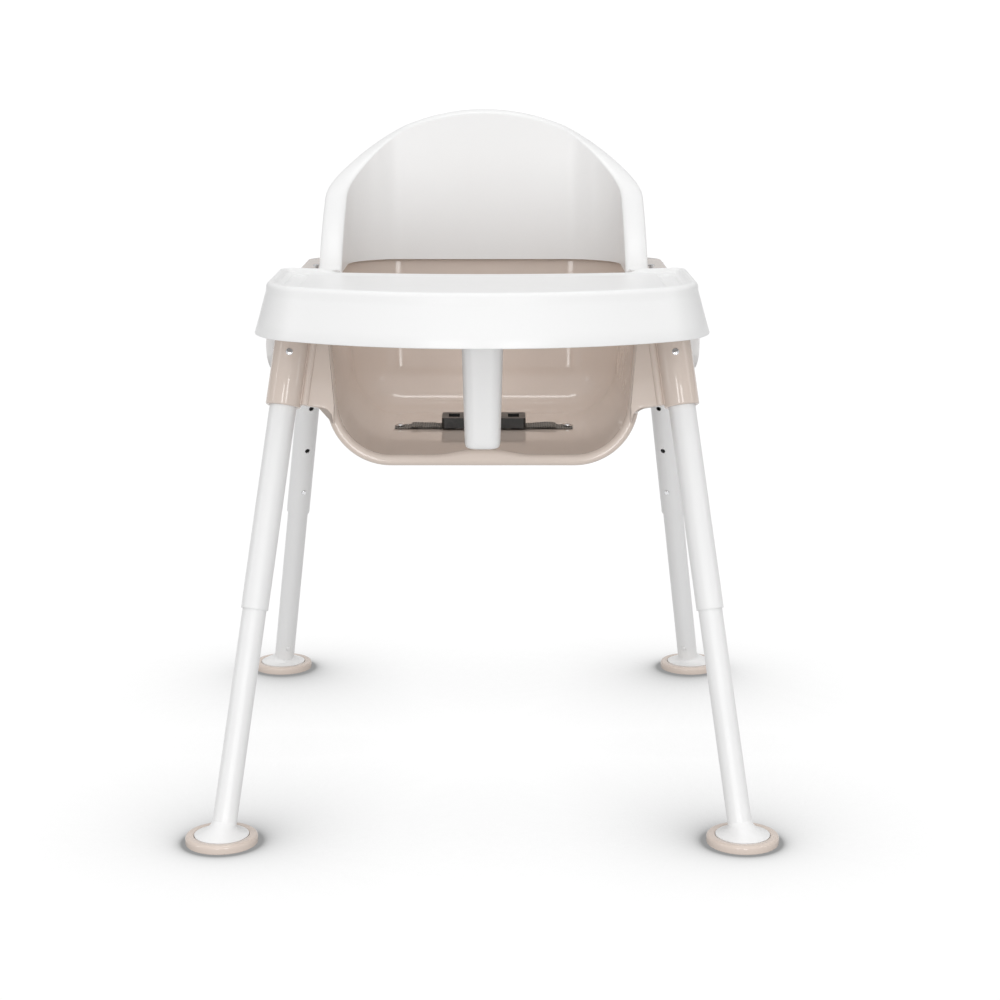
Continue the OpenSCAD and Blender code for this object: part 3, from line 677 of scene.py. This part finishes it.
def pad_shape(sx, sy):
    profile = [(0.5, 0.3), (PAD_R - 4.5, 0.3), (PAD_R - 3.2, 0.0), (PAD_R - 1.2, 0.0)]
    profile += arc(PAD_R - 1.1, 1.1, 1.1, -70, 0, 4)
    profile += arc(PAD_R - 3, PAD_H - 3, 3, 0, 90, 8)
    profile += [(PAD_R - 6.8, PAD_H), (PAD_R - 7.6, PAD_H - 0.3), (PAD_R - 8.0, PAD_H - 1.2)]
    profile += [(PAD_R - 8.0, 3.0), (0.5, 3.0)]
    return moved(lathe(profile, 96), Matrix.Translation((sx * FOOT_X, sy * FOOT_Y, 0)))


# ---------- belt ----------

def strap_path(sx):
    """Middle line of the webbing seen from the front, each point with the half width there.

    It runs from the screw along the seat, round the buckle's bar and back on itself."""
    wide, narrow = WEB_W / 2, 9.2
    low, high = SEAT_Z + 0.75, SEAT_Z + 1.95
    path = [(ANCHOR_X + 5 - i, low, wide) for i in range(0, 46, 2)]
    path += [(41, low, wide), (38, low, 11.0), (34, low, narrow)]
    path += [(30, low + 0.1, narrow), (27.6, low + 1.2, narrow)]
    path += [(x, z, narrow) for x, z in arc(BAR_X, BAR_Z, 2.35, 180, 20, 9)]
    path += [(32.6, BAR_Z - 2.2, narrow), (34, high + 0.5, narrow)]
    path += [(37, high, 10.6), (40, high, 11.6), (42, high, wide)]
    path += [(x, high, wide) for x in range(44, 73, 2)]
    return [(sx * x, z, w) for x, z, w in path]


def strap(sx, thick=1.05):
    """Ribbon along the path, with rounded selvedges, a slow wave and a slight cup across its width."""
    path = strap_path(sx)
    rings = []
    for i, (x, z, w) in enumerate(path):
        ahead, behind = path[min(i + 1, len(path) - 1)], path[max(i - 1, 0)]
        t = Vector((ahead[0] - behind[0], ahead[1] - behind[1])).normalized()
        nx, nz = -t.y * sx, t.x * sx
        free = smooth((abs(x) - 44) / 8) * smooth((ANCHOR_X - 7 - abs(x)) / 8)
        ring = []
        for k in range(24):
            a = 2 * math.pi * k / 24
            across = math.copysign(abs(math.cos(a)) ** 0.35, math.cos(a))
            up = math.copysign(abs(math.sin(a)) ** 0.7, math.sin(a)) * thick / 2
            wave = free * (0.9 + 0.7 * math.sin(abs(x) * 0.21 + sx) + 0.5 * across * math.sin(abs(x) * 0.13))
            curl = 0.5 * free * across * across
            lift = max(wave + curl, 0) * 0.55
            ring.append((x + nx * up, across * w, z - nz * up + lift))
        rings.append(ring)
    return skin(rings)


def stitching(sx):
    """Two rows of thread across the doubled end, and a row along each side of it."""
    top = SEAT_Z + 2.55

    def stitch(x, y, half_x, half_y, height):
        x0, x1 = sorted((sx * (x - half_x), sx * (x + half_x)))
        return block(x0, x1, y - half_y, y + half_y, top, top + height, 0.25, 2)

    parts = [stitch(x, -9 + 2.25 * i, 0.3, 0.8, 0.7) for x in (62.0, 69.5) for i in range(9)]
    parts += [stitch(62.0 + 2.3 * i, y, 0.8, 0.3, 0.9) for y in (-10.6, 10.6) for i in range(4)]
    return joined(*parts)


# ---------- pieces ----------

piece("seat_tub", seat_tub(), TAUPE, "chair", ["seat_shell"])
piece("seat_armrests", seat_flange(), TAUPE, "chair", sharp=50)
piece("seat_front_rim", seat_front(), TAUPE, "chair", sharp=50)
piece("seat_back_shell", back_shell(), WHITE, "chair", ["seat_back"], 60)
for key, (sx, sy) in LEGS.items():
    piece("leg_sleeve_" + key, socket_shape(sx, sy), TAUPE, "chair", sharp=50)
    piece("flared_foot_" + key, foot_shape(sx, sy), WHITE, "leg_" + key, ["foot_" + key])
    piece("floor_pad_" + key, pad_shape(sx, sy), TAUPE, "leg_" + key, ["foot_pad_" + key],
          sharp=50)
tray = piece("tray_moulding", tray_shape(), WHITE, "tray", ["tray"], 45)
# Room over each armrest
OVER_ARM = (TRAY_REAR - 20, 40, SKIRT_Z - 20, ARM_Z + 0.4)
cut(tray, *[block(*sorted((sx * 130, sx * (RAIL_HALF_W + 0.7))), *OVER_ARM, 1.5) for sx in (-1, 1)])
piece("centre_post", pommel_shape(), WHITE, "tray", ["pommel"], 45)

for side, sx in (("left", -1), ("right", 1)):
    ribbon = piece("belt_ribbon_" + side, strap(sx), BELT, "chair", ["belt_strap_" + side], 70)
    thread = piece("belt_stitching_" + side, stitching(sx), BELT, "chair")
    if side == "right":
        for soft in (ribbon, thread):
            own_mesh(soft)

# Edge radii of the parts that keep their CAD shape, in millimetres
EDGES = {"buckle": 0.7, "tray_lever": 0.9, "upper_leg": 0.3, "lower_leg": 0.3,
         "belt_screws": 0.2, "back_screws": 0.2}
for entry in frame["record"]["subparts"]:
    name = entry["node"]
    o = NODES[name]
    o.data.materials.clear()
    o.data.materials.append(SLOT_MATERIALS[entry["material_slot"]])
    for start, radius in EDGES.items():
        if name.startswith(start):
            m = o.modifiers.new("edges", "BEVEL")
            m.width, m.segments, m.limit_method, m.angle_limit = radius * MM, 3, "ANGLE", math.radians(50)
            m.use_clamp_overlap = True
            m.harden_normals = True


# ---------- floor, light and camera ----------

BLACK_RGB, WHITE_RGB = (0, 0, 0, 1), (1, 1, 1, 1)


def set_piece(name, mesh, material):
    """A piece of the studio, which isn't part of the chair."""
    o = bpy.data.objects.new(name, mesh)
    bpy.context.scene.collection.objects.link(o)
    mesh.materials.append(material)
    return o


def floor():
    """White floor that glows evenly, with a painted contact shadow: its glow colour darkens, by ambient
    occlusion, close to whatever stands on it.
    """
    n, r = 96, 19.9
    mesh = bpy.data.meshes.new("floor")
    rim = [(r * math.cos(2 * math.pi * i / n), r * math.sin(2 * math.pi * i / n), 0) for i in range(n)]
    mesh.from_pydata(rim, [], [tuple(range(n))])
    m, t, shader, coords = tree("studio_floor")
    # Painted contact shadow: the glow runs from grey to white with the occlusion round each point. The floor
    # takes no light itself, so this is all the shade it shows.
    shade = t.nodes.new("ShaderNodeAmbientOcclusion")
    shade.samples, shade.inputs["Distance"].default_value = 64, 0.3
    t.links.new(two_colours(t, shade.outputs["AO"], (0.3, 0.3, 0.3), (1.0, 1.0, 1.0), 0.78, 0.995),
                shader.inputs["Emission Color"])
    shader.inputs["Emission Strength"].default_value = 1.03
    shader.inputs["Base Color"].default_value = BLACK_RGB
    t.links.new(spread(t, noise(t, coords, 9, 3), 0.75, 0.85), shader.inputs["Roughness"])
    shader.inputs["Specular IOR Level"].default_value = 0.0
    set_piece("floor", mesh, m).visible_diffuse = False


def backdrop():
    """White backdrop that only the camera sees, so that it lights nothing."""
    ball = bpy.data.meshes.new("backdrop")
    bm = bmesh.new()
    bmesh.ops.create_uvsphere(bm, u_segments=48, v_segments=24, radius=20)
    bm.to_mesh(ball)
    bm.free()
    m, _, shader, _ = tree("studio_backdrop")
    shader.inputs["Base Color"].default_value = BLACK_RGB
    shader.inputs["Emission Color"].default_value = WHITE_RGB
    shader.inputs["Emission Strength"].default_value = 1.05
    o = set_piece("backdrop", ball, m)
    o.visible_diffuse = o.visible_glossy = o.visible_shadow = o.visible_transmission = False


def surround():
    """World light: dimmer from the sides, from below and from behind."""
    world = bpy.data.worlds.new("studio")
    bpy.context.scene.world = world
    world.use_nodes = True
    t = world.node_tree
    split = t.nodes.new("ShaderNodeSeparateXYZ")
    t.links.new(t.nodes.new("ShaderNodeTexCoord").outputs["Generated"], split.inputs["Vector"])
    across = t.nodes.new("ShaderNodeMath")
    across.operation = "ABSOLUTE"
    t.links.new(split.outputs["X"], across.inputs[0])
    dim = spread(t, across.outputs[0], 1.0, 0.6, 0.3, 1)
    for value in (spread(t, split.outputs["Z"], 0.45, 0.85, -0.3, 0.5),
                  spread(t, split.outputs["Y"], 1.35, 1.0, -0.7, 0.4)):
        product = t.nodes.new("ShaderNodeMath")
        product.operation = "MULTIPLY"
        t.links.new(dim, product.inputs[0])
        t.links.new(value, product.inputs[1])
        dim = product.outputs[0]
    background = t.nodes["Background"]
    background.inputs["Color"].default_value = WHITE_RGB
    t.links.new(dim, background.inputs["Strength"])


def lamps():
    sides = (("left", -1), ("right", 1))
    lights = [("key_" + side, (sx * 0.375, -1.9, 0.42), (0, 0.05, 0.42), 0.3, 0.7, 4.4) for side, sx in sides]
    lights += [("side_" + side, (sx * 1.7, -0.7, 0.9), (0, 0, 0.42), 0.2, 1.5, 2.5) for side, sx in sides]
    lights += [("overhead", (0, 0, 2.2), (0, 0.02, 0.3), 1.2, 0.16, 4)]
    for name, place, aim, w, h, power in lights:
        lamp = bpy.data.lights.new(name, "AREA")
        lamp.shape, lamp.size, lamp.size_y, lamp.energy = "RECTANGLE", w, h, power
        o = bpy.data.objects.new(name, lamp)
        o.location = place
        o.rotation_euler = (Vector(aim) - Vector(place)).to_track_quat("-Z", "Y").to_euler()
        bpy.context.scene.collection.objects.link(o)


def front_camera():
    lens = bpy.data.cameras.new("camera")
    lens.sensor_width, lens.lens = 36, 76.24
    camera = bpy.data.objects.new("camera", lens)
    camera.location = (0.0161, -2.0847, 0.6983)
    camera.rotation_euler = (math.radians(78.04), 0, 0)
    bpy.context.scene.collection.objects.link(camera)
    bpy.context.scene.camera = camera


floor()
backdrop()
surround()
lamps()
front_camera()
bpy.context.scene.view_settings.view_transform = "Standard"
